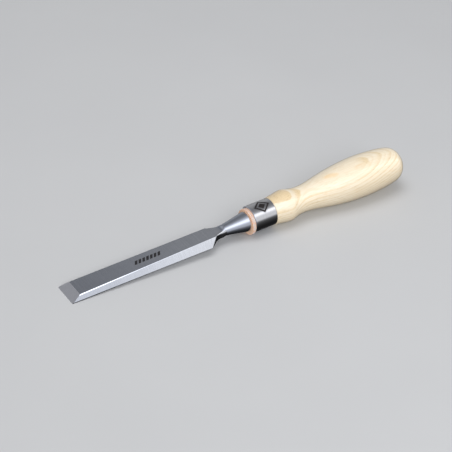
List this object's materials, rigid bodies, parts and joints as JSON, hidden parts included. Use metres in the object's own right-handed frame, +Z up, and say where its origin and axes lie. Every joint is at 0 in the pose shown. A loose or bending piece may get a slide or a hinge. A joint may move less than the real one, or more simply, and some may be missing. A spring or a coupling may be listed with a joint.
{
  "type": "bench chisel",
  "caption": "Bevel-edge bench chisel: flat-backed steel blade with forged bolster, leather washer, steel ferrule and turned ash handle, for paring and mallet work in wood.",
  "frame": {"origin": "middle of the cutting edge, on the bench plane z = 0", "axes": "+X along the bench from the cutting edge to the butt of the handle, +Y across the blade, +Z up off the bench. The chisel lies bevel up: its edge and the belly of its handle touch z = 0, so the flat back leans 2.97 degrees off the bench."},
  "size_m": [0.2745, 0.0308, 0.0311],
  "materials": {
    "blade_steel": "ground and fine satin, polished neck and bolster",
    "washer_leather": "natural vegetable-tanned, cut edge",
    "ferrule_steel": "stainless, brushed around the tube",
    "handle_ash": "turned pale ash, thin clear lacquer"
  },
  "bodies": {
    "root": {"blade": "blade_steel", "leather_washer": "washer_leather", "ferrule": "ferrule_steel", "handle": "handle_ash"}
  },
  "joints": []
}
